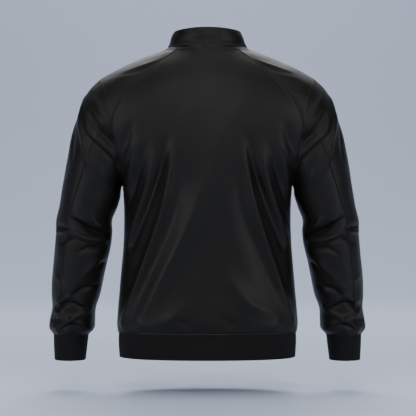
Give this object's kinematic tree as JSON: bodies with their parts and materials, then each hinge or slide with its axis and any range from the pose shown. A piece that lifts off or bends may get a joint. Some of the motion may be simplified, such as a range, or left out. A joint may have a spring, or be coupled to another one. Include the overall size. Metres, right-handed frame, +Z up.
{
  "type": "track jacket",
  "caption": "Black zipped track jacket held in its worn shape with nobody in it: stand collar, saddle shoulders, rib hem and rib cuffs, with a zip pull that turns.",
  "frame": {"origin": "middle of the neck opening, level with the points where the shoulders meet the neck, where a neck or a bust holds the jacket", "axes": "+Z up, +Y towards the back of the garment, -Y towards the zipped front, +X towards the wearer's left"},
  "size_m": [0.7012, 0.2587, 0.728],
  "materials": {
    "knit": "black interlock knit with a soft satin sheen",
    "rib": "black fine rib knit, matte",
    "zip_tape": "black woven polyester tape, matte",
    "zip_metal": "satin black plated metal"
  },
  "bodies": {
    "jacket": {"back": "knit", "front_left": "knit", "front_right": "knit", "shoulder_left": "knit", "shoulder_right": "knit", "sleeve_outer_left": "knit", "sleeve_outer_right": "knit", "sleeve_under_left": "knit", "sleeve_under_right": "knit", "cuff_left": "rib", "cuff_right": "rib", "hem_band": "rib", "neck_band": "knit", "collar": "knit", "zip_tape_left": "zip_tape", "zip_tape_right": "zip_tape", "zip_chain": "zip_metal", "zip_box": "zip_metal", "zip_slider": "zip_metal"},
    "pull": {"zip_pull": "zip_metal"}
  },
  "joints": [
    {"name": "pull_hinge", "type": "hinge", "parent": "jacket", "child": "pull", "pos_m": [0, -0.06488, -0.00175], "axis": [-1, 0, 0], "range_deg": [0, 170]}
  ]
}
